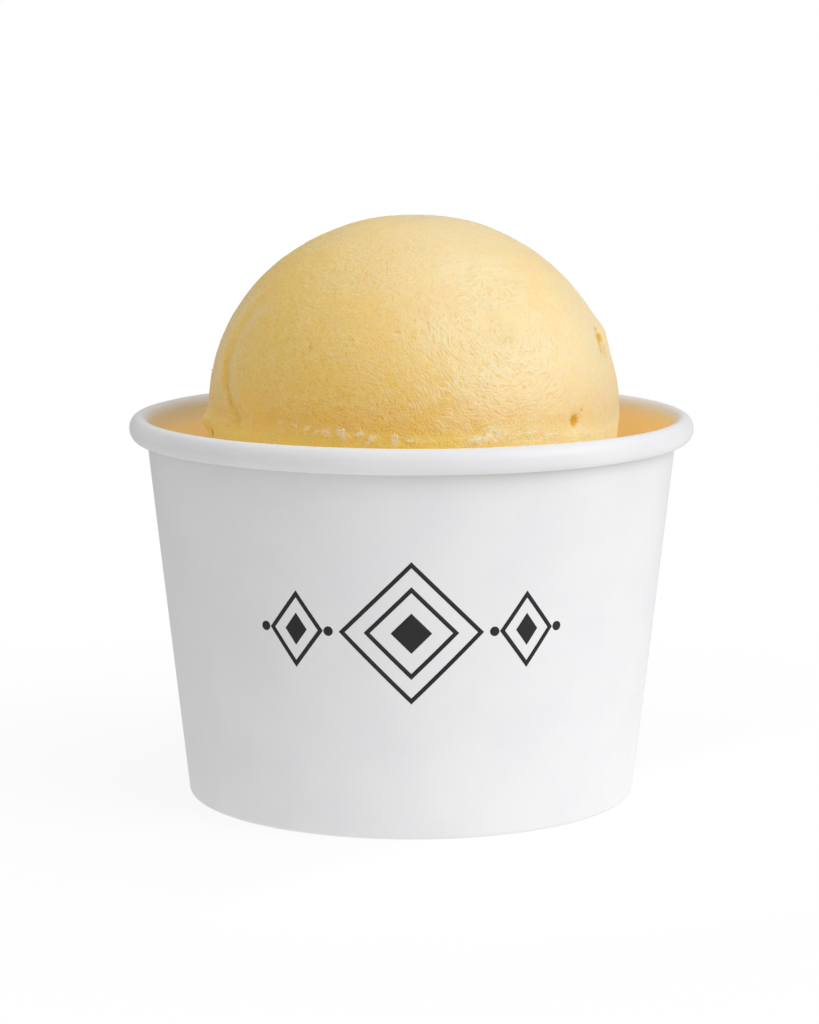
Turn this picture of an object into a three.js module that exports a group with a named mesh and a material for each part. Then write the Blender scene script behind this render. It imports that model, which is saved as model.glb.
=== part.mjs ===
// A cup of mango ice cream: a small white paper cup with a rolled rim, filled with ice cream
// that is crowned by one round scoop. Millimetres, +Z up, the origin in the middle of the
// cup's foot. The viewer stands at -Y, so +X is on the viewer's right.

import * as THREE from "three";

// The cup, turned about +Z.
const FOOT_RADIUS = 29.95; // outside of the side wall, carried down to the table
const WALL_LEAN = 0.11; // the wall widens by this much for each millimetre of height
const BOARD = 0.45; // thickness of the cup board
const RIM_RADIUS = 37.5; // outside of the rolled rim
const RIM_MIDDLE = 49.18; // height of the middle of the roll
const RIM_HALF_HEIGHT = 1.65;
const RIM_CURL_END = -118; // degrees round the roll where the curled edge stops, under it
const HEM_HEIGHT = 5; // the wall's bottom edge is folded inwards and up to here
const HEM_CORNER = 0.6; // rounding of that fold
const BASE_CORNER = 0.9; // rounding where the base disc turns down into its flange
const SNUG = 0.3; // clearance where one piece meets another
const CUP_COLUMNS = 64;

// The scoop: a dome a little flatter than a ball, standing a hair to the viewer's right.
const SCOOP_RADIUS = 27.2;
const SCOOP_RISE = 25.62; // from its widest level to its top
const SCOOP_LEVEL = 51.5; // height of its widest level, just over the rim
const SCOOP_ROUNDNESS = 2.05; // 2 is an ellipse, and more is squarer
const SCOOP_SHIFT = 0.25;
const SEAM_LEVEL = 50.8; // the seam that the edge of the scoop leaves round its widest part
const NECK_RADIUS = 27;
const NECK_FOOT = 45.2; // below here the neck spreads into the filling

// The filling under the scoop, pressed into the cup and hidden behind its rim.
const FILL_LEVEL = 43.2; // its uneven top, in the gap between scoop and wall
const FILL_EDGE = 1.2; // rounding of its top edge at the wall
const FILL_CORNER = 1.5; // rounding of its bottom edge
const ICE_COLUMNS = 96;
const ICE_ROWS = 20; // over the dome
const CROWDING = 0.3; // how strongly the columns gather towards the fold

// Relief of the scoop: places are an azimuth round +Z in degrees, with a height or with an
// elevation in degrees over the widest level.
const FOLD_AZIMUTH = -158; // the crescent fold on the viewer's left, where it is furthest back
const FOLD_MIDDLE = 21; // elevation there
const FOLD_BEND = 0.03; // degrees of azimuth for each squared degree of elevation
const FOLD_TOP = 43;
const BEAD = { azimuth: -176, height: 50.3, proud: 0.75, across: 2.2, tall: 1.2 };
const FLAKE = { azimuth: -6, height: 62.3, proud: 0.65, across: 2.6, tall: 1.6 };
const HIP = { azimuth: -4, height: 54.5, proud: 0.25, across: 14, tall: 6 };
const MARKS = [BEAD, FLAKE, HIP];
const LUMP_HEIGHT = 0.12; // slow unevenness all over
const LUMP_SPACING = 34;

// How far the scoop's seam and the filling's top rise and dip on their way round: waves of a
// height, a count for the whole turn and a start in degrees.
const SEAM_WAVES = [
  { height: 0.6, count: 2, start: 350 },
  { height: 0.4, count: 5, start: 20 },
];
const FILL_WAVES = [
  { height: 0.7, count: 3, start: 57 },
  { height: 0.35, count: 7, start: 0 },
];

const degrees = THREE.MathUtils.radToDeg;
const radians = THREE.MathUtils.degToRad;
const ramp = THREE.MathUtils.smoothstep;

const wallOutside = (z) => FOOT_RADIUS + WALL_LEAN * z;
const wallInside = (z) => wallOutside(z) - BOARD;

// Points along an ellipse, from one angle to another in degrees, as a profile's (radius, height).
function arc(centreR, centreZ, halfWidth, halfHeight, from, to, steps) {
  return Array.from({ length: steps + 1 }, (_, i) => {
    const angle = radians(from + ((to - from) * i) / steps);
    return new THREE.Vector2(
      centreR + halfWidth * Math.cos(angle),
      centreZ + halfHeight * Math.sin(angle),
    );
  });
}

const at = (r, z) => new THREE.Vector2(r, z);

// Turns a profile about +Z.
function turned(profile, columns) {
  return new THREE.LatheGeometry(profile, columns).rotateX(Math.PI / 2);
}

function piece(name, geometry, material) {
  const mesh = new THREE.Mesh(geometry, material);
  mesh.name = name;
  return mesh;
}

// ---- Side wall: one strip of white board, curled outwards at the top into the rim and
// folded inwards at the bottom into a hem that grips the base. ----

const hemSlot = SNUG + BOARD + SNUG;
const hemDepth = BOARD + hemSlot + BOARD;
const hemInside = (z) => wallOutside(z) - hemDepth;
const rimHalfWidth = (RIM_RADIUS - wallInside(RIM_MIDDLE)) / 2;
const rimCentre = RIM_RADIUS - rimHalfWidth;

function wallProfile() {
  const hollowWidth = rimHalfWidth - BOARD;
  const hollowHeight = RIM_HALF_HEIGHT - BOARD;
  const foldInside = hemInside(0) + HEM_CORNER;
  const foldOutside = FOOT_RADIUS - HEM_CORNER;
  const profile = [
    at(hemInside(HEM_HEIGHT), HEM_HEIGHT),
    ...arc(foldInside, HEM_CORNER, HEM_CORNER, HEM_CORNER, 180, 270, 3),
    ...arc(foldOutside, HEM_CORNER, HEM_CORNER, HEM_CORNER, 270, 360, 3),
    ...arc(rimCentre, RIM_MIDDLE, hollowWidth, hollowHeight, 180, RIM_CURL_END, 9),
    ...arc(rimCentre, RIM_MIDDLE, rimHalfWidth, RIM_HALF_HEIGHT, RIM_CURL_END, 180, 13),
    at(wallInside(BOARD), BOARD),
    at(wallInside(BOARD) - hemSlot, BOARD),
    at(wallInside(HEM_HEIGHT) - hemSlot, HEM_HEIGHT),
  ];
  return [...profile, profile[0].clone()];
}

const paperSide = new THREE.MeshStandardMaterial({
  color: new THREE.Color(0.93, 0.93, 0.94),
  roughness: 0.5,
  metalness: 0,
});

const cupWall = piece("cup_wall", turned(wallProfile(), CUP_COLUMNS), paperSide);

// ---- Base: a disc of the same board, raised off the table, with its edge turned down into
// the slot of the hem. ----

const baseUnder = HEM_HEIGHT + SNUG;
const baseTop = baseUnder + BOARD;
const flangeFoot = BOARD + SNUG;

function baseProfile() {
  const flangeOutside = (z) => wallInside(z) - SNUG;
  const flangeInside = (z) => flangeOutside(z) - BOARD;
  const bendInside = BASE_CORNER - BOARD;
  const cornerR = flangeOutside(baseTop) - BASE_CORNER;
  const cornerZ = baseTop - BASE_CORNER;
  return [
    at(0, baseUnder),
    ...arc(cornerR, cornerZ, bendInside, bendInside, 90, 0, 2),
    at(flangeInside(flangeFoot), flangeFoot),
    at(flangeOutside(flangeFoot), flangeFoot),
    ...arc(cornerR, cornerZ, BASE_CORNER, BASE_CORNER, 0, 90, 3),
    at(0, baseTop),
  ];
}

const paperBase = paperSide.clone();

const cupBase = piece("cup_base", turned(baseProfile(), CUP_COLUMNS), paperBase);

// ---- Ice cream: one solid, from the base of the cup to the top of the scoop. ----

// Radius and height of the plain dome at an angle between its widest level and its top.
function domePoint(angle) {
  const power = 2 / SCOOP_ROUNDNESS;
  return at(
    SCOOP_RADIUS * Math.max(Math.cos(angle), 0) ** power,
    SCOOP_LEVEL + SCOOP_RISE * Math.sin(angle) ** power,
  );
}

function iceProfile() {
  const foot = baseTop + SNUG;
  const side = (z) => wallInside(z) - SNUG;
  const edgeZ = FILL_LEVEL - FILL_EDGE;
  const edgeR = side(edgeZ) - FILL_EDGE;
  const cornerZ = foot + FILL_CORNER;
  const cornerR = side(cornerZ) - FILL_CORNER;
  const spread = NECK_FOOT - FILL_LEVEL;
  const dome = Array.from({ length: ICE_ROWS }, (_, i) =>
    domePoint((Math.PI / 2) * (i / ICE_ROWS)),
  );
  return [
    at(0, foot),
    ...arc(cornerR, cornerZ, FILL_CORNER, FILL_CORNER, -90, 0, 3),
    at(side(20), 20),
    ...arc(edgeR, edgeZ, FILL_EDGE, FILL_EDGE, 0, 90, 4),
    ...arc(NECK_RADIUS + spread, NECK_FOOT, spread, spread, 270, 180, 5),
    at(NECK_RADIUS + 0.12, 47.4),
    at(NECK_RADIUS + 0.15, 49.4),
    at(NECK_RADIUS + 0.3, 50.2),
    at(SCOOP_RADIUS + 0.16, SEAM_LEVEL),
    ...dome,
    at(0, SCOOP_LEVEL + SCOOP_RISE),
  ];
}

const bell = (distance, width) => Math.exp(-((distance / width) ** 2));

// Degrees from one azimuth to another, the short way round.
const turnFrom = (from, to) => THREE.MathUtils.euclideanModulo(to - from + 180, 360) - 180;

// Millimetres along the scoop's side for a turn in degrees, at an elevation.
const alongSide = (turn, elevation) =>
  radians(turn) * SCOOP_RADIUS * Math.cos(radians(elevation));

// Height of the crescent fold over the dome: a groove with a broad lip behind it and a low
// ridge in front, d millimetres in front of the line on which the groove runs.
function foldRelief(azimuth, elevation) {
  const line = FOLD_AZIMUTH + FOLD_BEND * (elevation - FOLD_MIDDLE) ** 2;
  const d = alongSide(turnFrom(line, azimuth), elevation);
  const lip = 0.25 * bell(d + 2.6, 1.8);
  const groove = 0.55 * bell(d, 1.1);
  const ridge = 0.25 * bell(d - 2.4, 1.2);
  const ends = ramp(elevation, -4, 1) * (1 - ramp(elevation, FOLD_TOP - 12, FOLD_TOP));
  return (lip - groove + ridge) * ends;
}

function markRelief(mark, azimuth, z) {
  const across = alongSide(turnFrom(mark.azimuth, azimuth), 0);
  return mark.proud * bell(across, mark.across) * bell(z - mark.height, mark.tall);
}

function lumpRelief(x, y, z) {
  const phase = (2 * Math.PI) / LUMP_SPACING;
  return LUMP_HEIGHT * (Math.sin(phase * x + 1) * Math.cos(phase * y) + Math.sin(phase * z) / 2);
}

const wave = (waves, azimuth) =>
  waves.reduce((sum, w) => sum + w.height * Math.sin(radians(w.count * azimuth + w.start)), 0);

// Moves a point of the turned ice cream to where the real, uneven one has it: the columns
// crowd towards the fold, the scoop takes its relief, and the seam and the filling their waves.
function press(point) {
  const { x, y, z } = point;
  const radius = Math.hypot(x, y);
  if (radius < 0.01) return;
  const even = degrees(Math.atan2(y, x));
  const gather = Math.sin(radians(turnFrom(FOLD_AZIMUTH, even)));
  const azimuth = even - degrees(CROWDING * gather);
  const elevation = Math.max(degrees(Math.atan2(z - SCOOP_LEVEL, radius)), 0);

  const onScoop = ramp(z, NECK_FOOT, NECK_FOOT + 4);
  const onFill = ramp(z, FILL_LEVEL - 6, FILL_LEVEL - 1) * (1 - onScoop);
  const marks = MARKS.reduce((sum, mark) => sum + markRelief(mark, azimuth, z), 0);
  const lumps = lumpRelief(x, y, z) * ramp(90 - elevation, 0, 25);
  const relief = onScoop * (foldRelief(azimuth, elevation) + marks + lumps);
  const seamLift = wave(SEAM_WAVES, azimuth) * bell(z - SEAM_LEVEL, 2.2);
  const fillLift = wave(FILL_WAVES, azimuth) * onFill;

  const pressedRadius = radius + relief * Math.cos(radians(elevation)) + WALL_LEAN * fillLift;
  point.set(
    pressedRadius * Math.cos(radians(azimuth)) + SCOOP_SHIFT * onScoop,
    pressedRadius * Math.sin(radians(azimuth)),
    z + relief * Math.sin(radians(elevation)) + seamLift + fillLift,
  );
}

function pressed(geometry) {
  const position = geometry.getAttribute("position");
  const point = new THREE.Vector3();
  for (let i = 0; i < position.count; i += 1) {
    point.fromBufferAttribute(position, i);
    press(point);
    position.setXYZ(i, point.x, point.y, point.z);
  }
  geometry.computeVertexNormals();
  return geometry;
}

const mango = new THREE.MeshStandardMaterial({
  color: new THREE.Color(0.95, 0.72, 0.33),
  roughness: 0.55,
  metalness: 0,
});

const iceCream = piece("ice_cream", pressed(turned(iceProfile(), ICE_COLUMNS)), mango);

// ---- The whole. ----

const cup = new THREE.Group();
cup.add(cupWall, cupBase);

const cupOfIceCream = new THREE.Group();
cupOfIceCream.add(cup, iceCream);

export default cupOfIceCream;
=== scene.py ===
import math

import bpy
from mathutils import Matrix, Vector


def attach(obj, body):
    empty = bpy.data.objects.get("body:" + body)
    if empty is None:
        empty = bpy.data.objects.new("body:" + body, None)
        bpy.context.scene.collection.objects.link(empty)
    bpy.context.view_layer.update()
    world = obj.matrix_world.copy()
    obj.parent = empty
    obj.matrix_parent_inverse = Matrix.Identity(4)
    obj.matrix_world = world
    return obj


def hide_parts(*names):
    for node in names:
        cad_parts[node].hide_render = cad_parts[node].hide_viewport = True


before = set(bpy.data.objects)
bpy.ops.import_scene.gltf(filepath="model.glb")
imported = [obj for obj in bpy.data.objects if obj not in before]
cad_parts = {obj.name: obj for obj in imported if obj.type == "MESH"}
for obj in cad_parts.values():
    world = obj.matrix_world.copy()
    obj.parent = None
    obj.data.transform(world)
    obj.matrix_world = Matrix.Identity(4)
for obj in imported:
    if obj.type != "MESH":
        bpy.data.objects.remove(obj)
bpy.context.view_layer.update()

# ---- Side wall of the cup -----------------------------------------------------------------
# One strip of white coated board, wound into a cone and glued where its ends overlap at the
# back. Its top edge is curled outwards into the rim. Its bottom edge is folded inwards and up
# into a hem, knurled by the tool that presses it against the base.

FOOT_RADIUS = 29.95  # sizes are in millimetres and angles in degrees, unless a comment says not
WALL_LEAN = 0.11
BOARD = 0.45
RIM_RADIUS = 37.5
RIM_MIDDLE = 49.18
RIM_HALF_HEIGHT = 1.65
RIM_CURL_END = -118
HEM_HEIGHT = 5
HEM_CORNER = 0.6
SNUG = 0.3  # between a piece of board and what lies against it
WALL_COLUMNS = 512
SEAM_START = 84.7  # azimuths between which the two ends of the strip overlap
SEAM_END = 96.7
SEAM_STEP = 0.28
SEAM_SLOPE = 7
EDGE_PULL = 0.92  # how far the nearest columns are drawn to an edge of the strip
KNURL_RIBS = 128
KNURL_DEPTH = 0.14
KNURL_FOOT = 0.7  # the ribs fade out towards these two heights
KNURL_TOP = 4.8
WAVINESS = 0.12

BOARD_SHADES = ((0.8, 0.8, 0.815), (0.83, 0.83, 0.84))  # the board is mottled between these two
# The light that the ice cream sends to the board: a warm tint and a faint glow on the inside of
# the wall, most just above the filling, and a cream tint on the crest of the rim in front.
WARM_TINT = (0.96, 0.67, 0.24)
WARM_GLOW = (0.2, 0.148, 0.08)
WARM_TOP = 50.8  # the warm light begins here, and is at its fullest from the next height down
WARM_FULL = 46.8
CREAM_TINT = (0.99, 0.86, 0.62)

hem_slot = SNUG + BOARD + SNUG
hem_depth = BOARD + hem_slot + BOARD
rim_half_width = (RIM_RADIUS - (FOOT_RADIUS + WALL_LEAN * RIM_MIDDLE - BOARD)) / 2
rim_centre = RIM_RADIUS - rim_half_width


def wall_outside(z):
    return FOOT_RADIUS + WALL_LEAN * z


def wall_inside(z):
    return wall_outside(z) - BOARD


def arc(centre_r, centre_z, half_width, half_height, start, end, steps):
    """Points (radius, height) along an ellipse between two angles in degrees."""
    angles = [math.radians(start + (end - start) * i / steps) for i in range(steps + 1)]
    return [(centre_r + half_width * math.cos(a), centre_z + half_height * math.sin(a)) for a in angles]


def straight(start, end, steps):
    """Points (radius, height) between two points, both left out."""
    shares = [i / steps for i in range(1, steps)]
    return [(start[0] + (end[0] - start[0]) * s, start[1] + (end[1] - start[1]) * s) for s in shares]


class Wire:
    """A socket in a node tree. Arithmetic on it adds the Math or Vector Math nodes."""

    def __init__(self, tree, socket=None):
        self.tree = tree
        self.socket = socket

    def node(self, kind, settings=None, inputs=None, out=0):
        """Adds a node: first its settings, then the values or wires of its sockets."""
        made = self.tree.nodes.new(kind)
        for name, value in (settings or {}).items():
            setattr(made, name, value)
        for name, value in (inputs or {}).items():
            if isinstance(value, Wire):
                self.tree.links.new(value.socket, made.inputs[name])
            else:
                made.inputs[name].default_value = value
        return Wire(self.tree, made.outputs[out] if made.outputs else None)

    def also(self, name):
        """Another output of the node that this wire leaves."""
        return Wire(self.tree, self.socket.node.outputs[name])

    def is_vector(self):
        return self.socket.type in ("VECTOR", "RGBA")

    def math(self, operation, *others):
        """Adds a Math node, or a Vector Math node where one of the values is a vector."""
        values = dict(enumerate((self, *others)))
        if not any(isinstance(v, Wire) and v.is_vector() for v in values.values()):
            return self.node("ShaderNodeMath", {"operation": operation}, values)
        other = others[0] if others else None
        scales = operation == "MULTIPLY" and not isinstance(other, (tuple, Wire))
        if scales or operation == "MULTIPLY" and isinstance(other, Wire) and not other.is_vector():
            return self.node("ShaderNodeVectorMath", {"operation": "SCALE"}, {0: self, 3: other})
        return self.node("ShaderNodeVectorMath", {"operation": operation}, values)

    def __add__(self, other):
        return self.math("ADD", other)

    def __mul__(self, other):
        return self.math("MULTIPLY", other)

    def __sub__(self, other):
        return self.math("SUBTRACT", other)

    def __truediv__(self, other):
        return self.math("DIVIDE", other)

    def __neg__(self):
        return self * -1

    def __rsub__(self, other):
        return self * -1 + other

    __radd__ = __add__
    __rmul__ = __mul__

    def xyz(self):
        """The three parts of a vector."""
        x = self.node("ShaderNodeSeparateXYZ", {}, {0: self})
        return x, x.also("Y"), x.also("Z")

    def length(self):
        return self.node("ShaderNodeVectorMath", {"operation": "LENGTH"}, {0: self}, "Value")

    def dot(self, direction):
        pair = {0: self, 1: direction}
        return self.node("ShaderNodeVectorMath", {"operation": "DOT_PRODUCT"}, pair, "Value")

    def ramp(self, low, high, at_low=0.0, at_high=1.0):
        """Goes smoothly from at_low, where the wire is low or less, to at_high."""
        values = {"Value": self, "From Min": low, "From Max": high, "To Min": at_low, "To Max": at_high}
        return self.node("ShaderNodeMapRange", {"interpolation_type": "SMOOTHSTEP"}, values)

    def bell(self, width):
        """1 where the wire is zero, and near nothing two widths away."""
        share = self / width
        return (share * share * -1).math("EXPONENT")

    def noise(self, scale, detail=2.0, roughness=0.5, distortion=0.0):
        """Cloudy noise from -0.5 to 0.5, with about scale clouds to the millimetre."""
        values = {"Vector": self, "Scale": scale, "Detail": detail, "Roughness": roughness}
        return self.node("ShaderNodeTexNoise", {}, {**values, "Distortion": distortion}) - 0.5

    def mix(self, colour, other):
        """The colour where the wire is 0, and the other colour where it is 1."""
        pair = {0: self, 6: opaque(colour), 7: opaque(other)}
        return self.node("ShaderNodeMix", {"data_type": "RGBA"}, pair, 2)


def opaque(colour):
    """A colour as a Mix node takes it, with its alpha."""
    return colour if isinstance(colour, Wire) else (*colour, 1.0)


def vector(x, y, z):
    """A vector made of three parts, of which x is a wire."""
    return x.node("ShaderNodeCombineXYZ", {}, {"X": x, "Y": y, "Z": z})


def start_nodes(name, **inputs):
    """A Geometry Nodes tree with named inputs, and a wire from each of them."""
    tree = bpy.data.node_groups.new(name, "GeometryNodeTree")
    tree.interface.new_socket("Geometry", in_out="OUTPUT", socket_type="NodeSocketGeometry")
    tree.interface.new_socket("Geometry", in_out="INPUT", socket_type="NodeSocketGeometry")
    for label, kind in inputs.items():
        tree.interface.new_socket(label, in_out="INPUT", socket_type="NodeSocket" + kind)
    entry = tree.nodes.new("NodeGroupInput")
    return [Wire(tree, socket) for socket in entry.outputs if socket.name]


def end_nodes(shape, material, smooth_faces=True):
    """Ends a tree: real geometry in one material, with all or some of its faces smooth."""
    smooth = shape.node("GeometryNodeSetShadeSmooth", {}, {"Geometry": shape, "Shade Smooth": smooth_faces})
    real = smooth.node("GeometryNodeRealizeInstances", {}, {"Geometry": smooth})
    painted = real.node("GeometryNodeSetMaterial", {}, {"Geometry": real, "Material": material})
    painted.node("NodeGroupOutput", {}, {0: painted})
    return painted.tree


def grow(name, start, tree, **values):
    """Runs a tree on a starting mesh, and keeps what it makes as a piece with a plain mesh."""
    piece = bpy.data.objects.new(name, start)
    bpy.context.scene.collection.objects.link(piece)
    modifier = piece.modifiers.new("nodes", "NODES")
    modifier.node_group = tree
    sockets = {item.name: item.identifier for item in tree.interface.items_tree if item.in_out == "INPUT"}
    for label, value in values.items():
        modifier[sockets[label]] = value
    evaluated = piece.evaluated_get(bpy.context.evaluated_depsgraph_get())
    mesh = bpy.data.meshes.new_from_object(evaluated)
    piece.modifiers.clear()
    piece.data = mesh
    mesh.name = name
    return piece


def place_in_mm(shape):
    """Each point's place. The trees work in millimetres until in_metres ends them."""
    return shape.node("GeometryNodeInputPosition")


def moved(shape, **sockets):
    """Sets each point's Position, or moves it by an Offset."""
    return shape.node("GeometryNodeSetPosition", {}, {"Geometry": shape, **sockets})


def stored(shape, name, value):
    """Keeps a number for each point under a name, for a material or a later node to read."""
    settings = {"data_type": "FLOAT", "domain": "POINT"}
    inputs = {"Geometry": shape, "Name": name, "Value": value}
    return shape.node("GeometryNodeStoreNamedAttribute", settings, inputs)


def recalled(wire, name):
    """A number that was kept for each point."""
    return wire.node("GeometryNodeInputNamedAttribute", {"data_type": "FLOAT"}, {"Name": name})


def profile_mesh(name, points, faces=None):
    """A line of points (radius, height), each with a number that says which face it is on."""
    mesh = bpy.data.meshes.new(name)
    mesh.from_pydata([(r, 0, z) for r, z in points], [(i, i + 1) for i in range(len(points) - 1)], [])
    numbers = mesh.attributes.new("face", "FLOAT", "POINT")
    numbers.data.foreach_set("value", faces or [1.0] * len(points))
    return mesh


def turned(profile, columns, azimuth_of=lambda turn: turn):
    """Turns a profile about +Z into a closed surface, which keeps its points' face numbers."""
    size = {"component": "MESH"}
    rows = profile.node("GeometryNodeAttributeDomainSize", size, {"Geometry": profile})
    grid = profile.node("GeometryNodeMeshGrid", {}, {"Vertices X": columns + 1, "Vertices Y": rows})
    index = profile.node("GeometryNodeInputIndex")
    column = (index / rows).math("FLOOR")
    row = index - column * rows
    picked = {"Geometry": profile, "Index": row}
    spot = {**picked, "Value": place_in_mm(profile)}
    radius, _, height = profile.node("GeometryNodeSampleIndex", {"data_type": "FLOAT_VECTOR"}, spot).xyz()
    side = profile.node("GeometryNodeSampleIndex", {}, {**picked, "Value": recalled(profile, "face")})
    azimuth = azimuth_of(column / columns * math.tau)
    kept = stored(grid, "face", side)
    around = vector(radius * azimuth.math("COSINE"), radius * azimuth.math("SINE"), height)
    surface = moved(kept, Position=around)

    # The first and the last column meet, and so do the points that lie on the axis.
    meeting = {"Geometry": surface, "Distance": 0.0005}
    return surface.node("GeometryNodeMergeByDistance", {}, meeting)


def in_metres(shape):
    return shape.node("GeometryNodeTransform", {}, {"Geometry": shape, "Scale": (0.001, 0.001, 0.001)})


def azimuth_at(place):
    """Degrees round +Z."""
    x, y, _ = place.xyz()
    return y.math("ARCTAN2", x) * math.degrees(1)


def turn_from(azimuth, start):
    """Degrees from a start to an azimuth, the short way round."""
    return (azimuth - start + 180).math("FLOORED_MODULO", 360) - 180


def wall_profile():
    """Up the outside of the hem and wall into the roll, and back down the inside."""
    hollow_width = rim_half_width - BOARD
    hollow_height = RIM_HALF_HEIGHT - BOARD
    hem_top = (wall_outside(HEM_HEIGHT) - hem_depth, HEM_HEIGHT)
    hem_foot = (wall_outside(0) - hem_depth, HEM_CORNER)
    fold_inside = arc(hem_foot[0] + HEM_CORNER, HEM_CORNER, HEM_CORNER, HEM_CORNER, 180, 270, 5)
    fold_outside = arc(FOOT_RADIUS - HEM_CORNER, HEM_CORNER, HEM_CORNER, HEM_CORNER, 270, 360, 5)
    roll_inside = arc(rim_centre, RIM_MIDDLE, hollow_width, hollow_height, 180, RIM_CURL_END, 18)
    roll_outside = arc(rim_centre, RIM_MIDDLE, rim_half_width, RIM_HALF_HEIGHT, RIM_CURL_END, 180, 30)
    floor_of_slot = [(wall_inside(BOARD), BOARD), (wall_inside(BOARD) - hem_slot, BOARD)]
    slot_top = (wall_inside(HEM_HEIGHT) - hem_slot, HEM_HEIGHT)
    outer = [hem_top, *straight(hem_top, fold_inside[0], 8), *fold_inside, *fold_outside]
    outer += [*straight(fold_outside[-1], roll_inside[0], 30), *roll_inside]
    inner = [*roll_outside, *straight(roll_outside[-1], floor_of_slot[0], 24), *floor_of_slot]
    inner += [*straight(floor_of_slot[1], slot_top, 4), slot_top]
    faces = [1.0] * len(outer) + [0.0] * len(inner) + [1.0]
    return profile_mesh("wall_profile", [*outer, *inner, hem_top], faces)


def start_finish(name):
    """An empty material, and a wire with the place on the piece in millimetres."""
    finish = bpy.data.materials.new(name)
    finish.use_nodes = True
    finish.node_tree.nodes.clear()
    return finish, Wire(finish.node_tree).node("ShaderNodeTexCoord", {}, {}, "Object") * 1000


def number_kept(place, name):
    """A number that was stored for each point, as a material reads it."""
    return place.node("ShaderNodeAttribute", {"attribute_name": name}, {}, "Fac")


def board_finish(name, warmth):
    """White coated board, faintly fibrous and satin, and warmed where ice cream lights it."""
    finish, place = start_finish(name)
    fibres = (place * (1.0, 1.0, 0.45)).noise(2.6, 4, 0.6)
    clouds = place.noise(0.09, 3)
    mottle = (fibres * 0.25 + clouds + 0.5).ramp(0.3, 0.7)
    white = mottle.mix(*BOARD_SHADES)

    # The warm light lies on the inner face, from the middle of the roll inwards.
    across, toward, height = place.xyz()
    inner = 1 - number_kept(place, "face")
    radius = (place * (1.0, 1.0, 0.0)).length()
    within = radius.ramp(rim_centre, rim_centre - 0.8)
    low = (height - across * 0.025).ramp(WARM_TOP, WARM_FULL) * inner * within
    low = low * across.ramp(-30, 30, 0.78, 1.02)
    crest = radius.ramp(rim_centre + 0.35, rim_centre - 0.1) * height.ramp(49, 50) * toward.ramp(-22, -34)
    creamy = (crest * warmth * 0.8).mix(white, CREAM_TINT)
    tinted = (low * warmth).mix(creamy, WARM_TINT)
    glow = (low * across.ramp(-30, 30, 0.85, 0.5) * warmth).mix((0, 0, 0), WARM_GLOW)

    relief = fibres * 0.006 + place.noise(0.35, 2) * 0.03
    bump = place.node("ShaderNodeBump", {}, {"Strength": 0.6, "Distance": 0.001, "Height": relief})
    values = {"Base Color": tinted, "Roughness": mottle.ramp(0, 1, 0.5, 0.42), "Normal": bump,
              "Emission Color": glow, "Emission Strength": 1.0}
    gloss = {"Specular IOR Level": 0.4, "Coat Weight": 0.1, "Coat Roughness": 0.25}
    surface = place.node("ShaderNodeBsdfPrincipled", {}, {**values, **gloss})
    place.node("ShaderNodeOutputMaterial", {}, {"Surface": surface})
    return finish


def wall_nodes():
    profile, columns, ribs, rib_depth, step, waviness = start_nodes(
        "wound_side_wall", Columns="Int", Knurl_ribs="Int", Knurl_depth="Float", Seam_step="Float",
        Waviness="Float")
    spacing = math.tau / WALL_COLUMNS

    def strip_edge(edge):
        """The angle in radians halfway between the two columns that an edge lies between."""
        return (math.floor(math.radians(edge) / spacing) + 0.5) * spacing

    def crowded(turn):
        """Draws the columns next to an edge of the strip close up to it."""
        for edge in (SEAM_START, SEAM_END):
            off = turn - strip_edge(edge)
            turn = turn - off * off.bell(spacing) * EDGE_PULL
        return turn

    shape = turned(profile, columns, crowded)
    place = place_in_mm(shape)
    normal = shape.node("GeometryNodeInputNormal")
    azimuth = azimuth_at(place)
    first = math.degrees(strip_edge(SEAM_START))
    last = math.degrees(strip_edge(SEAM_END))
    sharp = 0.02
    rises = azimuth.ramp(first - SEAM_SLOPE, first)
    ends = azimuth.ramp(first - sharp, first + sharp, 1, 0)
    drops = azimuth.ramp(last - sharp, last + sharp, 1, 0)
    outer = recalled(shape, "face")
    overlap = rises * drops * outer - rises * ends * (1 - outer)
    _, _, height = place.xyz()
    radius = (place * (1.0, 1.0, 0.0)).length()
    hem_face = wall_outside(0) - hem_depth
    in_hem = radius.ramp(hem_face + 0.55, hem_face + 0.62, 1, 0)
    in_hem = in_hem * height.ramp(KNURL_FOOT, KNURL_FOOT + 0.7)
    in_hem = in_hem * height.ramp(KNURL_TOP - 0.8, KNURL_TOP, 1, 0) * outer
    knurl = (azimuth * ribs * math.radians(1)).math("COSINE") * rib_depth * in_hem
    waves = (place * (1.0, 1.0, 0.5)).noise(0.06, 1) * waviness
    above_foot = height.ramp(0.3, 2.0)
    shift = overlap * step * above_foot - knurl.math("ABSOLUTE") + waves * (outer * 2 - 1) * above_foot
    shape = moved(shape, Offset=normal * shift)
    return end_nodes(in_metres(shape), board_finish("cup_board_wall", warmth=0.9))


side_wall = grow("side_wall", wall_profile(), wall_nodes(), Columns=WALL_COLUMNS, Knurl_ribs=KNURL_RIBS,
                 Knurl_depth=KNURL_DEPTH, Seam_step=SEAM_STEP, Waviness=WAVINESS)
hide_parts("cup_wall")
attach(side_wall, "root")

# ---- Base of the cup ----------------------------------------------------------------------
# A disc of the same board, raised off the table. Its edge is turned down all round into the
# slot of the hem, and a shallow ring is pressed into it to stiffen it.

BASE_CORNER = 0.9
BASE_COLUMNS = 256
RING_RADIUS = 22
RING_DEPTH = 0.25
RING_WIDTH = 0.9
BUCKLE = 0.25  # how far the disc's middle is from flat

base_under = HEM_HEIGHT + SNUG
base_top = base_under + BOARD
flange_foot = BOARD + SNUG


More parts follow.
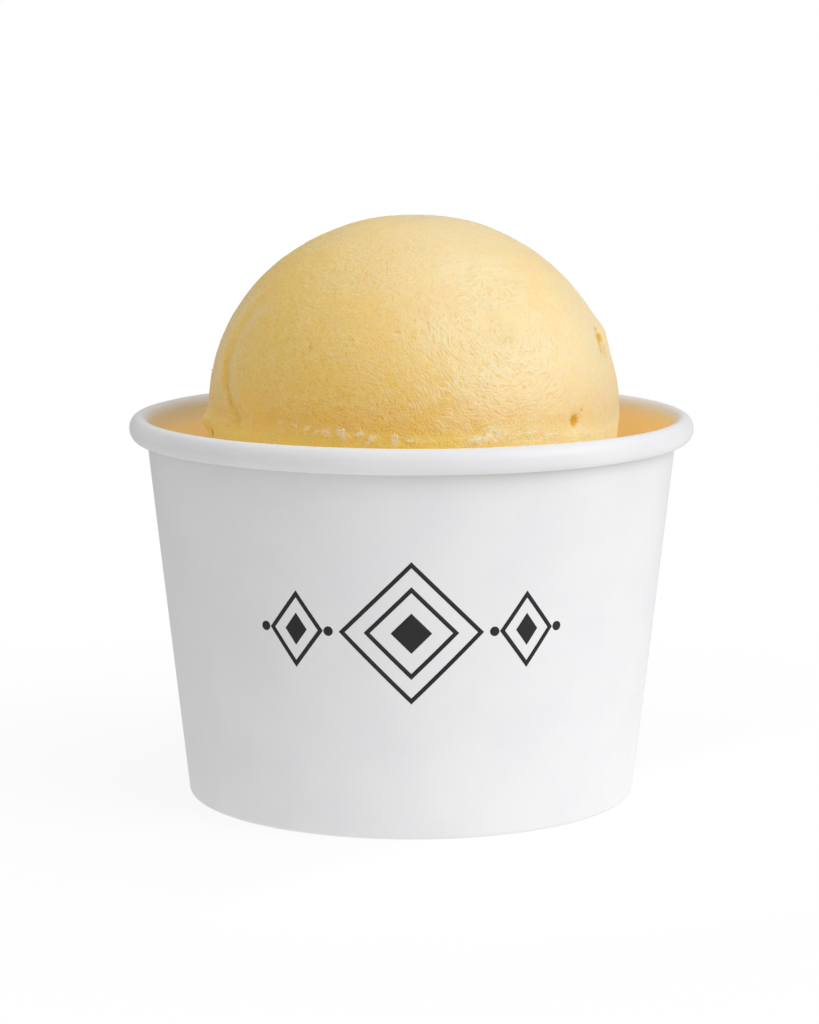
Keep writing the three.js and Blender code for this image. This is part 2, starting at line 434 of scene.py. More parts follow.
def base_profile():
    """Out along the underside, down round the flange, and back over the top."""
    def flange(z):
        return wall_inside(z) - SNUG

    corner_r = flange(base_top) - BASE_CORNER
    corner_z = base_top - BASE_CORNER
    bend = BASE_CORNER - BOARD
    inside = arc(corner_r, corner_z, bend, bend, 90, 0, 5)
    outside = arc(corner_r, corner_z, BASE_CORNER, BASE_CORNER, 0, 90, 7)
    foot = [(flange(flange_foot) - BOARD, flange_foot), (flange(flange_foot), flange_foot)]
    under = [(0, base_under), *straight((0, base_under), inside[0], 60), *inside]
    down = [*straight(inside[-1], foot[0], 6), *foot, *straight(foot[1], outside[0], 6)]
    over = [*outside, *straight(outside[-1], (0, base_top), 60), (0, base_top)]
    return profile_mesh("base_profile", under + down + over)


def base_nodes():
    profile, columns, ring_radius, ring_depth = start_nodes(
        "pressed_base", Columns="Int", Ring_radius="Float", Ring_depth="Float")
    shape = turned(profile, columns)
    place = place_in_mm(shape)
    _, _, height = place.xyz()
    radius = (place * (1.0, 1.0, 0.0)).length()
    on_disc = height.ramp(base_under - 0.4, base_under - 0.1)
    ring = (radius - ring_radius).bell(RING_WIDTH) * ring_depth * on_disc
    buckle = place.noise(0.05, 1) * BUCKLE * radius.ramp(27, 20)
    shape = moved(shape, Offset=vector(ring * 0, 0.0, buckle - ring))
    return end_nodes(in_metres(shape), board_finish("cup_board_base", warmth=0.0))


base_disc = grow("base_disc", base_profile(), base_nodes(), Columns=BASE_COLUMNS, Ring_radius=RING_RADIUS,
                 Ring_depth=RING_DEPTH)
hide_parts("cup_base")
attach(base_disc, "root")

# ---- Printed ornament ---------------------------------------------------------------------
# A row of lozenges and dots, printed on the front of the wall in one charcoal ink before the
# strip was wound. The ink is a film on the board, a few hundredths of a millimetre thick.

INK_FILM = 0.03
INK_SHADES = ((0.014, 0.013, 0.014), (0.022, 0.02, 0.021))
STROKE = 0.55
ROW_HEIGHT = 27.2
FRONT = -math.pi / 2  # in radians
# Half widths and half heights of the lozenges.
LARGE = (9.2, 9.2)
MIDDLE = (6.0, 6.0)
HEART = (2.6, 2.6)
SMALL = (3.7, 5.0)
SMALL_HEART = (1.5, 2.1)
SMALL_PLACE = 15.0  # from the middle of the row, along the wall
DOT_PLACES = (10.6, 19.4)
DOT_RADIUS = 0.62
DOT_SIDES = 28
SIDE_STEPS = 32  # each side of an outline is cut into so many, to follow the wall
HEART_CUTS = 10

ink_points = []
ink_faces = []


def printed(points, faces):
    """Adds flat faces, given as (place along the wall, height) and counted from their own points."""
    start = len(ink_points)
    ink_points.extend((x, 0, z) for x, z in points)
    ink_faces.extend([start + i for i in face] for face in faces)


def band(outer, inner, steps):
    """Fills between two outlines with as many corners, cutting each side into short steps."""
    corners = len(outer)
    points = []
    for i in range(corners):
        for step in range(steps):
            for outline in (outer, inner):
                a, b = outline[i], outline[(i + 1) % corners]
                share = step / steps
                points.append((a[0] + (b[0] - a[0]) * share, a[1] + (b[1] - a[1]) * share))
    count = corners * steps
    after = [2 * ((i + 1) % count) for i in range(count)]
    printed(points, [(2 * i, after[i], after[i] + 1, 2 * i + 1) for i in range(count)])


def lozenge(x, half_width, half_height):
    return [(x, ROW_HEIGHT - half_height), (x + half_width, ROW_HEIGHT),
            (x, ROW_HEIGHT + half_height), (x - half_width, ROW_HEIGHT)]


def lozenge_outline(x, half_width, half_height):
    """A lozenge drawn with a line, as broad as the stroke on every side."""
    slope = math.hypot(half_width, half_height) / (half_width * half_height)
    share = 1 - STROKE * slope
    hole = lozenge(x, half_width * share, half_height * share)
    band(lozenge(x, half_width, half_height), hole, SIDE_STEPS)


def solid_lozenge(x, half_width, half_height):
    """A lozenge cut both ways into small ones, which follow the wall."""
    row = HEART_CUTS + 1
    points = [(x + (i - j) / HEART_CUTS * half_width, ROW_HEIGHT + ((i + j) / HEART_CUTS - 1) * half_height)
              for j in range(row) for i in range(row)]
    corners = [j * row + i for j in range(HEART_CUTS) for i in range(HEART_CUTS)]
    printed(points, [(c, c + 1, c + 1 + row, c + row) for c in corners])


def dot(x):
    """A dot made of a ring round a flat heart."""
    def circle(radius):
        turns = [math.tau * i / DOT_SIDES for i in range(DOT_SIDES)]
        return [(x + radius * math.cos(a), ROW_HEIGHT + radius * math.sin(a)) for a in turns]

    band(circle(DOT_RADIUS), circle(DOT_RADIUS / 2), 1)
    printed(circle(DOT_RADIUS / 2), [tuple(range(DOT_SIDES))])


lozenge_outline(0, *LARGE)
lozenge_outline(0, *MIDDLE)
solid_lozenge(0, *HEART)
for hand in (-1, 1):
    dot(hand * DOT_PLACES[0])
    lozenge_outline(hand * SMALL_PLACE, *SMALL)
    solid_lozenge(hand * SMALL_PLACE, *SMALL_HEART)
    dot(hand * DOT_PLACES[1])


def ink_finish():
    """Charcoal ink, printed solid: a little of the board's grain shows in its gloss."""
    finish, place = start_finish("charcoal_ink")
    grain = place.noise(3.0, 3) + 0.5
    colour = grain.ramp(0.3, 0.75).mix(*INK_SHADES)
    values = {"Base Color": colour, "Roughness": grain.ramp(0.3, 0.7, 0.5, 0.62)}
    surface = place.node("ShaderNodeBsdfPrincipled", {}, {**values, "Specular IOR Level": 0.3})
    place.node("ShaderNodeOutputMaterial", {}, {"Surface": surface})
    return finish


def joined(first, second):
    """Two geometries as one."""
    both = first.node("GeometryNodeJoinGeometry", {}, {0: first})
    both.tree.links.new(second.socket, both.socket.node.inputs[0])
    return both


def ink_nodes():
    """Wraps the flat drawing round the wall: each point falls on it from just outside."""
    flat, wall, film = start_nodes("ink_on_wall", Wall="Object", Film="Float")
    flat = flat.node("GeometryNodeMergeByDistance", {}, {"Geometry": flat, "Distance": 0.001})
    along, _, height = place_in_mm(flat).xyz()
    reach = height * WALL_LEAN + FOOT_RADIUS
    azimuth = along / reach + FRONT
    out = vector(azimuth.math("COSINE"), azimuth.math("SINE"), 0.0)
    outside = reach + 2
    before = out * outside * 0.001 + vector(height * 0, 0.0, height * 0.001)
    cup = flat.node("GeometryNodeObjectInfo", {}, {"Object": wall}, "Geometry")
    aim = {"Target Geometry": cup, "Source Position": before, "Ray Direction": -out, "Ray Length": 0.01}
    spot = flat.node("GeometryNodeRaycast", {}, aim, "Hit Position")

    # Half of the film is under the surface, which leaves no gap behind it.
    under = moved(flat, Position=spot - out * film * 0.0005)
    lifted = {"Mesh": under, "Offset": out, "Offset Scale": film * 0.001, "Individual": False}
    top = under.node("GeometryNodeExtrudeMesh", {"mode": "FACES"}, lifted)
    flat_top = top.also("Top")
    bottom = under.node("GeometryNodeFlipFaces", {}, {"Mesh": under})
    both = joined(top, bottom)
    closed = both.node("GeometryNodeMergeByDistance", {}, {"Geometry": both, "Distance": 2e-6})
    return end_nodes(closed, ink_finish(), flat_top)


ink_mesh = bpy.data.meshes.new("ink_flat")
ink_mesh.from_pydata(ink_points, [], ink_faces)
printed_ornament = grow("printed_ornament", ink_mesh, ink_nodes(), Wall=side_wall, Film=INK_FILM)
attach(printed_ornament, "root")

# ---- Ice cream ----------------------------------------------------------------------------
# Mango ice cream: a cup pressed full, and one round scoop set on it with a hand scoop. The
# scoop's steel has wrung its skin into fine wrinkles, left a crescent fold on one side and a
# ragged, frosted seam round its widest part.

SCOOP_RADIUS = 27.2
SCOOP_RISE = 25.62
SCOOP_LEVEL = 51.5
SCOOP_ROUNDNESS = 2.05
SCOOP_SHIFT = 0.25
SEAM_LEVEL = 50.8
NECK_RADIUS = 27
NECK_FOOT = 45.2
FILL_LEVEL = 43.2
FILL_EDGE = 1.2
FILL_CORNER = 1.5
ICE_COLUMNS = 440
DOME_ROWS = 140
NECK_ROW = 0.28
# The fold runs up the scoop from its seam, bent like a crescent.
FOLD_AZIMUTH = -159
FOLD_MIDDLE = 21  # elevation where it comes nearest to the viewer's left
FOLD_BEND = 0.03
FOLD_TOP = 43
GROOVE_DEPTH = 0.22
LIP_HEIGHT = 0.22
LIP_EDGE = 0.16
RIDGE_HEIGHT = 0.07
RIDGE_EDGE = 0.1
LUMP_HEIGHT = 0.12
LUMP_SPACING = 34
SKIN_LUMPS = 0.22
SKIN_GRAIN = 0.08
FILL_LUMPS = 1.5
SEAM_CRUMBLE = 0.13
FROST_RAISED = 0.16
FROST_BAND = 0.85
# Places that stand proud: azimuth, height, how far, and how wide and tall.
MARKS = {
    "bead": (-176, 50.3, 0.75, 2.2, 1.2),
    "flake": (-6, 62.1, 0.55, 2.6, 2.0),
    "hip": (-4, 54.5, 0.25, 14, 6),
}
# Waves round the scoop's seam and the filling's top: height, count for a turn, start in degrees.
SEAM_WAVES = ((0.6, 2, 350), (0.4, 5, 20))
FILL_WAVES = ((0.7, 3, 57), (0.35, 7, 0))
# Pits left by torn fruit fibres, and the hollow torn out under the flake: place, half width, half
# height and depth. Each is a little wider than its deep-coloured bottom.
PIT_SPREAD = 1.2
PITS = (
    ((20.9, -17.7, 52.0), 0.8, 0.85, 0.6),
    ((21.8, -16.6, 53.3), 0.22, 0.26, 0.2),
    ((20.3, -18.5, 52.1), 0.16, 0.16, 0.1),
    ((24.8, -5.9, 61.6), 1.1, 0.75, 0.28),
    ((24.9, -6.6, 60.9), 1.5, 2.2, 0.1),
    ((24.8, -7.6, 60.0), 0.5, 0.5, 0.2),
    ((24.2, -5.6, 62.7), 0.5, 0.35, 0.2),
    ((24.9, -6.4, 60.8), 0.5, 0.3, 0.25),
    ((24.8, -8.4, 59.4), 0.3, 0.25, 0.12),
    ((-26.4, -5.9, 48.9), 0.9, 0.6, 0.35),
    ((-1.8, -23.9, 64.0), 0.5, 0.2, 0.12),
    ((-12.8, -21.4, 61.6), 0.24, 0.6, 0.12),
    ((-18.3, -18.8, 58.0), 0.3, 0.3, 0.1),
    ((-12.8, -14.3, 69.7), 0.2, 0.24, 0.12),
    ((7.5, 24.9, 58.4), 0.5, 0.6, 0.3),
    ((-16.4, 17.2, 63.0), 0.3, 0.4, 0.2),
)
# Where the seam is frosted: azimuth, width and how thickly.
FROSTED = (
    (-129, 2.5, 0.6), (-118, 5, 0.9), (-103, 6, 1), (-94, 4, 1), (-69, 6, 1), (-53, 6, 0.7), (-37, 3, 0.4),
    (14, 12, 0.8), (52, 7, 0.6), (88, 16, 1), (131, 11, 0.9), (163, 7, 0.6), (-176, 5, 0.6),
)
SCOOP_MIDDLE = (SCOOP_SHIFT, 0, SCOOP_LEVEL)
SWIRL = (11.1, -21.2, 64.0)  # the wrinkles on the viewer's right curl round here
SCRAPED = (4.9, -26.2, 56.2)  # short pale strokes lie round here, where the skin is scraped
MOTTLED = (-12, -14, 70)  # the skin is most mottled round here
PAINTED_SHADE_SPOT = (15, -11, 70)  # painted shade: less pale round here, where the lamp is brightest, than on either side

SKIN_SHADES = ((0.89, 0.575, 0.075), (0.95, 0.745, 0.45))  # the skin's ground, from deep to pale
PATCH_COLOUR = (0.85, 0.545, 0.045)
FLECK_COLOUR = (0.97, 0.87, 0.62)
SPECK_COLOUR = (0.8, 0.5, 0.08)
WRINKLE_CREST_HIGHLIGHT = (0.98, 0.88, 0.62)
# A painted highlight on the wrinkles' crests:
STROKE_COLOUR = (0.98, 0.9, 0.68)
BELOW_SEAM_PAINTED_LIGHT = ((1.0, 0.79, 0.24), (1.0, 0.87, 0.52))  # painted light below the seam, where the rim shades it: from left to right
# The fold's pale bands are painted highlights, and its groove is painted shade:
BAND_HIGHLIGHT_COLOUR = (0.9, 0.72, 0.48)
GROOVE_SHADE_COLOUR = (0.8, 0.51, 0.05)
FROST_COLOUR = (0.98, 0.86, 0.64)
PIT_COLOUR = (0.78, 0.43, 0.0)


def pressed_side(z):
    return wall_inside(z) - SNUG


def ice_profile():
    """Out along the filling's foot, up its side, in over its top, and up the neck and dome."""
    foot = base_top + SNUG
    edge_z = FILL_LEVEL - FILL_EDGE
    edge_r = pressed_side(edge_z) - FILL_EDGE
    corner_z = foot + FILL_CORNER
    corner_r = pressed_side(corner_z) - FILL_CORNER
    hollow = NECK_FOOT - FILL_LEVEL
    power = 2 / SCOOP_ROUNDNESS
    corner = arc(corner_r, corner_z, FILL_CORNER, FILL_CORNER, -90, 0, 4)
    edge = arc(edge_r, edge_z, FILL_EDGE, FILL_EDGE, 0, 90, 6)
    spread = arc(NECK_RADIUS + hollow, NECK_FOOT, hollow, hollow, 270, 180, 10)
    neck = [(NECK_RADIUS + 0.1, 47.4), (NECK_RADIUS + 0.15, 49.4), (SCOOP_RADIUS + 0.04, SEAM_LEVEL),
            (SCOOP_RADIUS, SCOOP_LEVEL)]
    angles = [math.pi / 2 * i / DOME_ROWS for i in range(1, DOME_ROWS)]
    dome = [(SCOOP_RADIUS * math.cos(a) ** power, SCOOP_LEVEL + SCOOP_RISE * math.sin(a) ** power)
            for a in angles]
    points = [(0, foot), *straight((0, foot), corner[0], 3), *corner, *straight(corner[-1], edge[0], 8)]
    points += [*edge, *straight(edge[-1], spread[0], 13), *spread]
    for start, end in zip([spread[-1], *neck], neck):
        rows = max(1, round((end[1] - start[1]) / NECK_ROW))
        points += [*straight(start, end, rows), end]
    return profile_mesh("ice_profile", [*points, *dome, (0, SCOOP_LEVEL + SCOOP_RISE)])


def wave(waves, azimuth):
    """Sine waves round the cup, added up."""
    return sum(height * (azimuth * math.radians(count) + math.radians(start)).math("SINE")
               for height, count, start in waves)


def out_of_scoop(place):
    """The direction in which a place lies from the middle of the scoop."""
    return (place - SCOOP_MIDDLE).math("NORMALIZE")


def pit_at(outward, spot, half_width, half_height):
    """How far a direction out of the scoop is from a pit, in half widths of it."""
    aim = Vector(spot) - Vector(SCOOP_MIDDLE)
    across = Vector((-aim.y, aim.x, 0)).normalized()
    up = aim.normalized().cross(across)
    gap = outward * aim.length - tuple(aim)
    inwards = gap.dot(tuple(aim.normalized()))
    return vector(gap.dot(tuple(across)) / half_width, gap.dot(tuple(up)) / half_height, inwards).length()


def fold_line(azimuth, elevation):
    """How far in millimetres a point is in front of the line on which the fold's groove runs."""
    bend = elevation - FOLD_MIDDLE
    turn = turn_from(azimuth - FOLD_AZIMUTH - bend * bend * FOLD_BEND, 0)
    return turn * (elevation * math.radians(1)).math("COSINE") * math.radians(SCOOP_RADIUS)


def ice_nodes():
    profile, columns, wrinkles = start_nodes("pressed_ice_cream", Columns="Int", Wrinkles="Float")
    shape = turned(profile, columns)
    place = place_in_mm(shape)
    x, y, z = place.xyz()
    radius = (place * (1.0, 1.0, 0.0)).length()
    azimuth = azimuth_at(place)
    elevation = ((z - SCOOP_LEVEL).math("ARCTAN2", radius) * math.degrees(1)).math("MAXIMUM", 0)
    on_scoop = z.ramp(NECK_FOOT, NECK_FOOT + 4)
    on_fill = z.ramp(FILL_LEVEL - 6, FILL_LEVEL - 1) * (1 - on_scoop)

    # The fold is sharp and deep low down, and melts into the skin on its way up.
    ahead = fold_line(azimuth, elevation)
    soft = elevation.ramp(8, 32)
    fold_ends = z.ramp(SCOOP_LEVEL - 2, SCOOP_LEVEL + 0.5) * elevation.ramp(FOLD_TOP - 12, FOLD_TOP, 1, 0)
    groove = ahead.math("MINIMUM", 0).bell(0.6) * ahead.math("MAXIMUM", 0).bell(2.6)
    groove = groove * (GROOVE_DEPTH - soft * 0.16)
    lip = (ahead + 2.6).bell(1.8) * LIP_HEIGHT + (ahead + 1.05).bell(0.5) * (LIP_EDGE - soft * 0.12)
    edge = (ahead - 3.2).bell(0.4) * elevation.ramp(24, 8) * RIDGE_EDGE
    ridge = (ahead - 3.4).bell(1.6) * RIDGE_HEIGHT + edge
    relief = (lip + ridge - groove) * fold_ends
    for mark_azimuth, height, proud, across, tall in MARKS.values():
        along = turn_from(azimuth, mark_azimuth) * math.radians(SCOOP_RADIUS)
        relief = relief + along.bell(across) * (z - height).bell(tall) * proud
    phase = math.tau / LUMP_SPACING
    lumps = (x * phase + 1).math("SINE") * (y * phase).math("COSINE") + (z * phase).math("SINE") * 0.5
    relief = (relief + lumps * LUMP_HEIGHT * (90 - elevation).ramp(0, 25)) * on_scoop
    seam_lift = wave(SEAM_WAVES, azimuth) * (z - SEAM_LEVEL).bell(2.2)
    fill_lift = wave(FILL_WAVES, azimuth) * on_fill

    # The relief pushes the scoop outwards, and the waves lift it.
    rise = elevation * math.radians(1)
    out = relief * rise.math("COSINE") + fill_lift * WALL_LEAN
    share = out / radius.math("MAXIMUM", 0.01)
    up = relief * rise.math("SINE") + seam_lift + fill_lift
    shape = stored(stored(shape, "fold", ahead), "folded", fold_ends)
    shape = stored(shape, "seam", z - SEAM_LEVEL)
    shape = moved(shape, Offset=vector(x * share + on_scoop * SCOOP_SHIFT, y * share, up))

    # The finer relief stands on the pressed form: frost on the seam, wrinkles and pits.
    off_seam = recalled(shape, "seam")
    strayed = off_seam + place.noise(0.25, 2) * 1.6
    torn = (place * (1.0, 1.0, 1.3)).noise(0.8, 2, 0.6).ramp(-0.1, 0.12)
    patches = sum(turn_from(azimuth, middle).bell(width * 1.2) * thickly
                  for middle, width, thickly in FROSTED)
    frost = strayed.bell(FROST_BAND) * torn * (patches + 0.15).math("MINIMUM", 1) * z.ramp(46, 48)
    crumbly = place.noise(1.1, 3, 0.6) * off_seam.bell(1.6) * SEAM_CRUMBLE
    skin = place.noise(0.28, 3, 0.55) * SKIN_LUMPS + place.noise(0.9, 2) * SKIN_GRAIN
    rough_fill = place.noise(0.35, 4, 0.6) * FILL_LUMPS
    rough_fill = rough_fill * z.ramp(FILL_LEVEL - 3, FILL_LEVEL - 1) * z.ramp(45, 47, 1, 0)
    fine = (skin * z.ramp(NECK_FOOT, NECK_FOOT + 4) + crumbly) * wrinkles + frost * FROST_RAISED
    outward = out_of_scoop(place)
    pitted = fine * 0
    for spot, half_width, half_height, depth in PITS:
        hollow = pit_at(outward, spot, half_width * PIT_SPREAD, half_height * PIT_SPREAD).bell(1.0)
        pitted = pitted + hollow * depth
    shape = stored(shape, "frost", frost)
    normal = shape.node("GeometryNodeInputNormal")
    shape = moved(shape, Offset=normal * (fine + rough_fill - pitted))
    return end_nodes(in_metres(shape), ice_finish())


def ice_finish():
    """Mango ice cream: soft, faintly moist and let through by light, paler where it is frosted."""
    finish, place = start_finish("mango_ice_cream")
    x, y, z = place.xyz()
    frost_zone = number_kept(place, "frost")
    flaked = (place * (0.75, 0.75, 2.0)).noise(1.5, 3, 0.65)
    frost = (frost_zone + flaked * 1.8).ramp(0.22, 0.85) * frost_zone.ramp(0.02, 0.2)
    fold = number_kept(place, "fold")
    folded = number_kept(place, "folded")

    # The skin's wrinkles: curls of all directions, and arcs round the swirl.
    away = place - SWIRL
    from_swirl = away.length()
    across = away.dot((0.88, 0.47, 0.0)) / from_swirl
    along = away.dot((-0.22, 0.42, 0.88)) / from_swirl
    bent = from_swirl + place.noise(0.35, 1) * 2.2
    arcs = 1 - vector(bent, across * 3.5, along * 3.5).noise(1.8, 1, 0.5, 0.4).math("ABSOLUTE") * 7
    curls = 1 - place.noise(2.0, 1, 0.5, 0.6).math("ABSOLUTE") * 7
    near = from_swirl.ramp(7, 18, 1, 0) * from_swirl.ramp(1.5, 3.5)
    wrinkle = (arcs * near + curls * (1 - near)).math("MAXIMUM", -1)
    lasting = place.noise(0.16, 1).ramp(-0.2, 0.15, 0.5, 1)
    strokes = vector(bent * 1.7, across * 4.6, along * 4.6).noise(1.9, 1).ramp(0.07, 0.15)
    scraped = (place - SCRAPED).length().bell(6.5)

    # Painted light: the ground is paler upwards, to the viewer's right and towards the viewer,
    # where the lamp and the white surroundings light it most. Apart from that it varies in clouds.
    clouds = place.noise(0.11, 3, 0.5)
    painted_light_and_tone = (z - 54) / 38 + x * 0.028 - y * 0.012 + clouds * 0.4 - (place - PAINTED_SHADE_SPOT).length().bell(8) * 0.35
    colour = painted_light_and_tone.ramp(-0.1, 1.3).mix(*SKIN_SHADES)
    # Deeper patches in clouds, a tone of the ice cream. They fade out upwards and towards the viewer's
    # right, which is painted shade below and away from the lamp.
    patches = place.noise(0.3, 3, 0.6, 0.6).ramp(0.0, 0.18) * z.ramp(68, 51) * x.ramp(25, 5)
    colour = (patches * 0.55).mix(colour, PATCH_COLOUR)
    flecks = place.noise(1.8, 3, 0.6).ramp(0.06, 0.2) * ((place - MOTTLED).length().bell(11) * 0.3 + 0.18)
    colour = flecks.mix(colour, FLECK_COLOUR)
    grains = place.noise(4.5, 1)
    colour = (grains.ramp(-0.12, -0.24) * x.ramp(12, -8, 0.1, 0.3)).mix(colour, SPECK_COLOUR)
    # Painted highlight: the wrinkles' crests are paler, most round the swirl, for the light they catch.
    colour = (wrinkle.ramp(-0.5, 1) * lasting * (near * 0.14 + 0.25)).mix(colour, WRINKLE_CREST_HIGHLIGHT)
    colour = (strokes * scraped * 0.42).mix(colour, STROKE_COLOUR)
    # Painted light: below the seam the ground is made brighter and paler, most to the viewer's right,
    # against the shade of the rim.
    below = x.ramp(0, 22).mix(*BELOW_SEAM_PAINTED_LIGHT)
    colour = (z.ramp(SEAM_LEVEL + 2, SEAM_LEVEL - 1) * 0.75).mix(colour, below)

    # The fold has a deep groove in painted shade, and pale bands behind and before it, painted
    # highlights on its lip and ridge. Frost and pits lie over all.
    torn = (place * (1.0, 1.0, 0.6)).noise(0.5, 2).ramp(-0.15, 0.1, 0.3, 1)
    behind = fold.ramp(-0.5, -1.5) * fold.ramp(-13, -3) * z.ramp(52, 57)
    bands = behind + (fold - 2.4).bell(1.1) * 0.5 + (fold - 3.4).bell(0.35) * 0.5
    streaked = vector(fold, 0.0, z * 0.12).noise(1.2, 1).ramp(-0.1, 0.1, 0.35, 1)
    colour = (bands * streaked * folded * 0.5).mix(colour, BAND_HIGHLIGHT_COLOUR)
    # Painted shade in the groove.
    colour = ((fold - 0.1).bell(0.65) * z.ramp(63, 57) * torn * folded * 0.9).mix(colour, GROOVE_SHADE_COLOUR)
    colour = (frost * 0.88).mix(colour, FROST_COLOUR)
    outward = out_of_scoop(place)
    deep = from_swirl * 0
    for spot, half_width, half_height, depth in PITS:
        bottom = pit_at(outward, spot, half_width, half_height).ramp(0.5, 1.3, min(1, depth * 3.5), 0)
        deep = deep.math("MAXIMUM", bottom)
    colour = deep.mix(colour, PIT_COLOUR)

    moist = place.noise(0.8, 2, 0.6) + 0.5
    relief = wrinkle * lasting * 0.045 + strokes * scraped * 0.04 + grains * 0.03
    relief = relief + moist * 0.16
    bump = place.node("ShaderNodeBump", {}, {"Strength": 1.0, "Distance": 0.001, "Height": relief})
    rough = frost.ramp(0, 1, 0.38, 0.75) + moist * 0.1
    values = {"Base Color": colour, "Roughness": rough, "Normal": bump}
    body = {"Subsurface Weight": 0.6, "Subsurface Radius": (1.0, 0.5, 0.15), "Subsurface Scale": 0.0018}
    veil = {"Sheen Weight": 0.1, "Sheen Roughness": 0.5, "Sheen Tint": (1.0, 0.96, 0.9, 1.0)}
    surface = place.node("ShaderNodeBsdfPrincipled", {}, {**values, **body, **veil})
    place.node("ShaderNodeOutputMaterial", {}, {"Surface": surface})
    return finish


ice_cream = grow("scoop_and_filling", ice_profile(), ice_nodes(), Columns=ICE_COLUMNS, Wrinkles=1.0)
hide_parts("ice_cream")
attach(ice_cream, "root")

# ---- Frozen crumbs ------------------------------------------------------------------------
# Crumbs of ice cream that the rim of the hand scoop has torn up: crowded where the seam is
# frosted, and a few stray ones on the skin.

CRUMB_RADIUS = 0.11
LEAST_STRETCH = (0.5, 0.5, 0.4)
MOST_STRETCH = (1.5, 1.2, 1.1)
CROWD = 3.5  # crumbs to the square millimetre where the frost is thickest
CRUMB_SEED = 5
STRETCH_SEED = 3
TURN_SEED = 4
STRAY_CRUMBS = (
    (-25.2, -3.2, 60.8), (-26.4, -3.8, 57.0), (-24.3, -9.6, 61.2), (13.2, -23.8, 54.2),
    (18.4, 19.1, 57.5), (-9.5, 24.9, 55.3), (-20.6, 16.9, 54.4), (8.3, 21.4, 66.2),
)
CRUMB_SHADES = ((0.97, 0.78, 0.44), (0.98, 0.88, 0.64))


def crumb_finish():
    """Frozen ice cream, paler and drier than the skin."""
    finish, place = start_finish("frozen_crumb")
    grain = place.noise(1.4, 3) + 0.5
    colour = grain.ramp(0.3, 0.7).mix(*CRUMB_SHADES)
    values = {"Base Color": colour, "Roughness": grain.ramp(0.3, 0.7, 0.6, 0.8)}
    surface = place.node("ShaderNodeBsdfPrincipled", {}, values)
    place.node("ShaderNodeOutputMaterial", {}, {"Surface": surface})
    return finish


def crumb_nodes():
    strays, scoop, crowd, seed = start_nodes("frozen_crumbs", Scoop="Object", Crowd="Float", Seed="Int")
    body = strays.node("GeometryNodeObjectInfo", {}, {"Object": scoop}, "Geometry")
    skin = body.node("GeometryNodeTransform", {}, {"Geometry": body, "Scale": (1000, 1000, 1000)})
    crowded = recalled(skin, "frost").ramp(0.2, 0.9) * crowd
    spots = {"Mesh": skin, "Density": crowded, "Seed": seed}
    scattered = skin.node("GeometryNodeDistributePointsOnFaces", {"distribute_method": "RANDOM"}, spots)
    both = joined(scattered, strays)

    # For a vector, a Random Value node's sockets 0, 1 and 8 are the least, the most and the seed.
    for_vectors = {"data_type": "FLOAT_VECTOR"}
    stretches = {0: LEAST_STRETCH, 1: MOST_STRETCH, 8: STRETCH_SEED}
    turns = {0: (0, 0, 0), 1: (math.tau, math.tau, math.tau), 8: TURN_SEED}
    stretch = both.node("FunctionNodeRandomValue", for_vectors, stretches)
    turn = both.node("FunctionNodeRandomValue", for_vectors, turns)
    crumb = both.node("GeometryNodeMeshIcoSphere", {}, {"Radius": CRUMB_RADIUS, "Subdivisions": 2})
    laid = {"Points": both, "Instance": crumb, "Rotation": turn, "Scale": stretch}
    crumbs = both.node("GeometryNodeInstanceOnPoints", {}, laid)
    real = crumbs.node("GeometryNodeRealizeInstances", {}, {"Geometry": crumbs})
    uneven = place_in_mm(real).noise(4.0, 1) * CRUMB_RADIUS * 1.2
    shape = moved(real, Offset=real.node("GeometryNodeInputNormal") * uneven)
    return end_nodes(in_metres(shape), crumb_finish())


stray_mesh = bpy.data.meshes.new("stray_crumbs")
stray_mesh.from_pydata(STRAY_CRUMBS, [], [])
seam_crumbs = grow("seam_crumbs", stray_mesh, crumb_nodes(), Scoop=ice_cream, Crowd=CROWD,
                   Seed=CRUMB_SEED)
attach(seam_crumbs, "root")

# ---- Floor, light and camera --------------------------------------------------------------
# A white table and white surroundings, one broad soft light from the viewer's right, and the
# camera where the photograph was taken from.

CAMERA_AT = (-0.29, -423.33, 102.4)
CAMERA_PITCH = 0.1522  # in radians, as the roll
CAMERA_ROLL = -0.0007
FOCAL_LENGTH = 112.36
SENSOR_WIDTH = 36
KEY_FROM = (0.74, -0.42, 0.52)  # the direction of the light, seen from the cup
KEY_DISTANCE = 2.2  # in metres, as the next two
KEY_SIZE = 1.5
FLOOR_REACH = 6
KEY_POWER = 26.2  # in watts
WHITE = (1, 1, 1, 1)


def floor_finish():
    """Plain white to the camera but for a soft contact shadow, and a light from below to the cup."""
    finish, place = start_finish("white_floor")
    x, y, _ = place.xyz()
    seen = place.node("ShaderNodeLightPath", {}, {}, "Is Camera Ray")
    sent_up = (x * 1.2 - y).ramp(-60, 40, 0.64, 1.02) * place.length().ramp(40, 300, 1, 0.72)
    glow = seen.math("MAXIMUM", sent_up)
    near = place.node("ShaderNodeBsdfDiffuse", {}, {"Color": (0.9, 0.9, 0.9, 1)})
    far = place.node("ShaderNodeEmission", {}, {"Color": WHITE, "Strength": glow})
    share = 1 - seen * place.length().ramp(0, 150, 0.16, 0)
    both = place.node("ShaderNodeMixShader", {}, {0: share, 1: near, 2: far})
    place.node("ShaderNodeOutputMaterial", {}, {"Surface": both})
    return finish


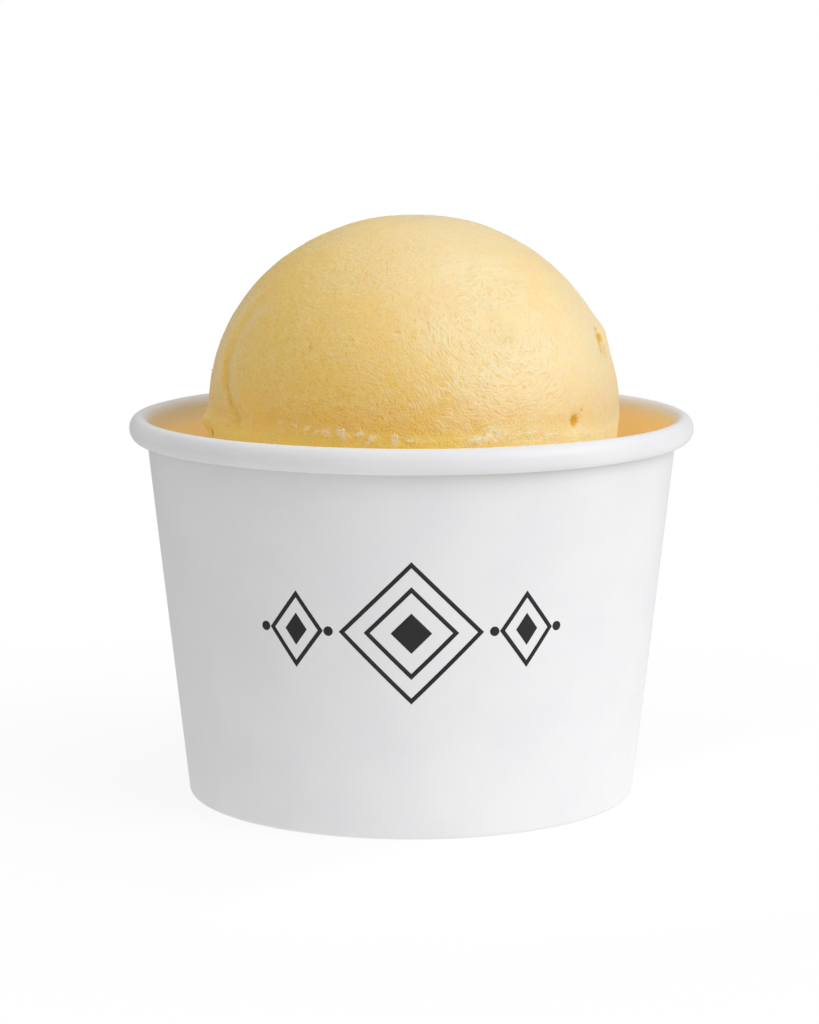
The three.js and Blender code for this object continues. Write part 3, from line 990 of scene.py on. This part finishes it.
floor_mesh = bpy.data.meshes.new("floor")
floor_corners = [(x * FLOOR_REACH, y * FLOOR_REACH, 0) for x, y in ((-1, -1), (1, -1), (1, 1), (-1, 1))]
floor_mesh.from_pydata(floor_corners, [], [(0, 1, 2, 3)])
floor_mesh.materials.append(floor_finish())
floor = bpy.data.objects.new("floor", floor_mesh)
bpy.context.scene.collection.objects.link(floor)

# The one lamp is a square soft box that faces the rim of the cup.
lamp = bpy.data.lights.new("key_light", "AREA")
lamp.size = KEY_SIZE
lamp.energy = KEY_POWER
key_light = bpy.data.objects.new("key_light", lamp)
aim = Vector((0, 0, 0.045))
key_light.location = aim + Vector(KEY_FROM).normalized() * KEY_DISTANCE
key_light.rotation_euler = (key_light.location - aim).to_track_quat("Z", "Y").to_euler()
bpy.context.scene.collection.objects.link(key_light)

# The camera sees white surroundings. The cup is lit by them more from overhead than from the
# sides, and more from low on the viewer's left than from the other sides.
world = bpy.data.worlds.new("white_studio")
bpy.context.scene.world = world
world.use_nodes = True
world.node_tree.nodes.clear()
sky = Wire(world.node_tree)
seen = sky.node("ShaderNodeLightPath", {}, {}, "Is Camera Ray")
sideways, _, overhead = sky.node("ShaderNodeTexCoord", {}, {}, "Generated").xyz()
from_left = sideways.ramp(-0.3, -1, 0, 0.8) * overhead.ramp(0, 0.6, 1, 0)
strength = seen.math("MAXIMUM", overhead.ramp(0, 1, 0.2, 0.9) + from_left)
around = sky.node("ShaderNodeBackground", {}, {"Color": WHITE, "Strength": strength})
sky.node("ShaderNodeOutputWorld", {}, {"Surface": around})

camera = bpy.data.objects.new("camera", bpy.data.cameras.new("camera"))
camera.data.lens = FOCAL_LENGTH
camera.data.sensor_width = SENSOR_WIDTH
camera.data.clip_start = 0.01
camera.location = Vector(CAMERA_AT) * 0.001
camera.rotation_euler = (math.pi / 2 - CAMERA_PITCH, CAMERA_ROLL, 0)
bpy.context.scene.collection.objects.link(camera)
bpy.context.scene.camera = camera
bpy.context.scene.view_settings.view_transform = "Standard"

bpy.context.view_layer.update()
